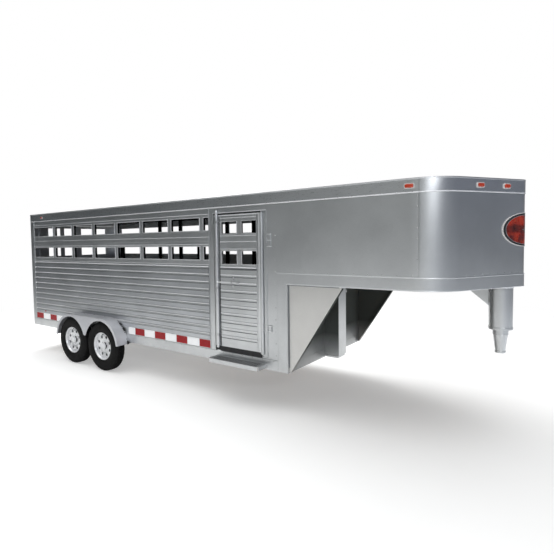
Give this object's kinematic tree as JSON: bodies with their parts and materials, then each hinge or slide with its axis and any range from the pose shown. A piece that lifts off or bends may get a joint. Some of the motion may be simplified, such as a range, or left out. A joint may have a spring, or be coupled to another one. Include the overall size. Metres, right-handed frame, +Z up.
{
  "type": "livestock trailer",
  "caption": "Tandem-axle gooseneck livestock trailer with slatted, ventilated sides, escape door, swinging rear gate with slider, centre gate, drop-leg jack and ball coupler.",
  "frame": {"origin": "on the ground at the centreline, midway between the rear gate's hinge tube and the tip of the nose", "axes": "+X towards the nose and hitch, +Y to the trailer's left, +Z up"},
  "size_m": [7.877, 2.47, 2.56],
  "materials": {
    "silver_paint": "metallic satin",
    "bright_metal": "brushed",
    "dark_steel": "black chassis paint",
    "tyre": "moulded rubber",
    "timber": "weathered oiled boards",
    "wheel_paint": "silver gloss",
    "lens_orange": "moulded lens",
    "badge_red": "gloss enamel"
  },
  "bodies": {
    "trailer": {"chassis_frame": "silver_paint", "floor_deck": "timber", "rear_frame": "silver_paint", "right_wall": "silver_paint", "left_wall": "silver_paint", "top_rail": "silver_paint", "roof_sheet": "silver_paint", "nose_sheet": "silver_paint", "neck_frame": "silver_paint", "neck_floor": "timber", "bulkhead": "silver_paint", "right_gusset": "silver_paint", "left_gusset": "silver_paint", "coupler_outer_tube": "silver_paint", "coupler_brace": "silver_paint", "right_fender": "silver_paint", "left_fender": "silver_paint", "front_axle_tube": "dark_steel", "rear_axle_tube": "dark_steel", "side_door_hinge": "bright_metal", "rear_gate_hinge": "bright_metal", "jack_housing": "silver_paint", "step": "silver_paint", "badge": "badge_red", "right_marker_lamp": "lens_orange", "right_outer_nose_lamp": "lens_orange", "right_inner_nose_lamp": "lens_orange", "left_marker_lamp": "lens_orange", "left_outer_nose_lamp": "lens_orange", "left_inner_nose_lamp": "lens_orange"},
    "right_front_wheel_set": {"right_front_tyre": "tyre", "right_front_wheel": "wheel_paint", "right_front_hub": "dark_steel"},
    "right_front_arm": {"right_front_torsion_arm": "dark_steel"},
    "right_rear_wheel_set": {"right_rear_tyre": "tyre", "right_rear_wheel": "wheel_paint", "right_rear_hub": "dark_steel"},
    "right_rear_arm": {"right_rear_torsion_arm": "dark_steel"},
    "left_front_wheel_set": {"left_front_tyre": "tyre", "left_front_wheel": "wheel_paint", "left_front_hub": "dark_steel"},
    "left_front_arm": {"left_front_torsion_arm": "dark_steel"},
    "left_rear_wheel_set": {"left_rear_tyre": "tyre", "left_rear_wheel": "wheel_paint", "left_rear_hub": "dark_steel"},
    "left_rear_arm": {"left_rear_torsion_arm": "dark_steel"},
    "side_door": {"side_door": "silver_paint"},
    "side_door_lock": {"side_door_lock": "bright_metal"},
    "rear_gate": {"rear_gate": "silver_paint"},
    "rear_gate_lock": {"rear_gate_lock": "bright_metal"},
    "rear_slider": {"rear_slider": "silver_paint"},
    "rear_slider_latch": {"rear_slider_latch": "bright_metal"},
    "centre_gate": {"centre_gate": "silver_paint"},
    "centre_gate_latch": {"centre_gate_latch": "bright_metal"},
    "jack_crank": {"jack_crank": "bright_metal"},
    "jack_ram": {"jack_ram": "silver_paint"},
    "jack_drop_leg": {"jack_drop_leg": "silver_paint"},
    "jack_pin": {"jack_pin": "bright_metal"},
    "coupler_inner_tube": {"coupler_inner_tube": "silver_paint"},
    "coupler_latch": {"coupler_latch": "bright_metal"}
  },
  "joints": [
    {"name": "right_front_suspension", "type": "hinge", "parent": "trailer", "child": "right_front_arm", "pos_m": [-1.3615, -0.966, 0.431], "axis": [0, 1, 0], "range_deg": [-10, 13], "stiffness_Nm_per_rad": 5200},
    {"name": "right_front_wheel_spin", "type": "hinge", "parent": "right_front_arm", "child": "right_front_wheel_set", "pos_m": [-1.5085, -1.122, 0.39], "axis": [0, 1, 0], "continuous": true},
    {"name": "right_rear_suspension", "type": "hinge", "parent": "trailer", "child": "right_rear_arm", "pos_m": [-2.1795, -0.966, 0.431], "axis": [0, 1, 0], "range_deg": [-10, 13], "stiffness_Nm_per_rad": 5200},
    {"name": "right_rear_wheel_spin", "type": "hinge", "parent": "right_rear_arm", "child": "right_rear_wheel_set", "pos_m": [-2.3265, -1.122, 0.39], "axis": [0, 1, 0], "continuous": true},
    {"name": "left_front_suspension", "type": "hinge", "parent": "trailer", "child": "left_front_arm", "pos_m": [-1.3615, 0.966, 0.431], "axis": [0, 1, 0], "range_deg": [-10, 13], "stiffness_Nm_per_rad": 5200},
    {"name": "left_front_wheel_spin", "type": "hinge", "parent": "left_front_arm", "child": "left_front_wheel_set", "pos_m": [-1.5085, 1.122, 0.39], "axis": [0, 1, 0], "continuous": true},
    {"name": "left_rear_suspension", "type": "hinge", "parent": "trailer", "child": "left_rear_arm", "pos_m": [-2.1795, 0.966, 0.431], "axis": [0, 1, 0], "range_deg": [-10, 13], "stiffness_Nm_per_rad": 5200},
    {"name": "left_rear_wheel_spin", "type": "hinge", "parent": "left_rear_arm", "child": "left_rear_wheel_set", "pos_m": [-2.3265, 1.122, 0.39], "axis": [0, 1, 0], "continuous": true},
    {"name": "side_door_hinge", "type": "hinge", "parent": "trailer", "child": "side_door", "pos_m": [1.4385, -1.03, 1.5], "axis": [0, 0, 1], "range_deg": [0, 145]},
    {"name": "side_door_lock_turn", "type": "hinge", "parent": "side_door", "child": "side_door_lock", "pos_m": [0.7585, -1.042, 1.5], "axis": [0, 0, -1], "range_deg": [0, 100]},
    {"name": "rear_gate_hinge", "type": "hinge", "parent": "trailer", "child": "rear_gate", "pos_m": [-3.9215, 0.975, 1.5], "axis": [0, 0, -1], "range_deg": [0, 200]},
    {"name": "rear_gate_lock_turn", "type": "hinge", "parent": "rear_gate", "child": "rear_gate_lock", "pos_m": [-3.9255, -0.87, 1.5], "axis": [0, 0, 1], "range_deg": [0, 95]},
    {"name": "rear_slider_slide", "type": "slide", "parent": "rear_gate", "child": "rear_slider", "axis": [0, 1, 0], "range_m": [0, 0.585]},
    {"name": "rear_slider_latch_turn", "type": "hinge", "parent": "rear_slider", "child": "rear_slider_latch", "pos_m": [-3.8815, -0.79, 1.6], "axis": [1, 0, 0], "range_deg": [0, 90]},
    {"name": "centre_gate_hinge", "type": "hinge", "parent": "trailer", "child": "centre_gate", "pos_m": [-1.3095, 0.93, 1], "axis": [0, 0, 1], "range_deg": [0, 86]},
    {"name": "centre_gate_latch_slide", "type": "slide", "parent": "centre_gate", "child": "centre_gate_latch", "axis": [0, -1, 0], "range_m": [0, 0.026]},
    {"name": "jack_crank_turn", "type": "hinge", "parent": "trailer", "child": "jack_crank", "pos_m": [1.9545, 0.09, 1.325], "axis": [0, 1, 0], "range_deg": [0, 6480]},
    {"name": "jack_ram_slide", "type": "slide", "parent": "trailer", "child": "jack_ram", "axis": [0, 0, -1], "range_m": [0, 0.2287]},
    {"name": "jack_drop_leg_slide", "type": "slide", "parent": "jack_ram", "child": "jack_drop_leg", "axis": [0, 0, -1], "range_m": [0, 0.25]},
    {"name": "jack_pin_slide", "type": "slide", "parent": "jack_ram", "child": "jack_pin", "axis": [0, -1, 0], "range_m": [0, 0.016]},
    {"name": "coupler_height_slide", "type": "slide", "parent": "trailer", "child": "coupler_inner_tube", "axis": [0, 0, -1], "range_m": [0, 0.1]},
    {"name": "coupler_latch_slide", "type": "slide", "parent": "coupler_inner_tube", "child": "coupler_latch", "axis": [0, 1, 0], "range_m": [0, 0.025]}
  ],
  "couplings": [
    {"joint": "jack_ram_slide", "follows": "jack_crank_turn", "m_per_rad": 0.0020213}
  ]
}
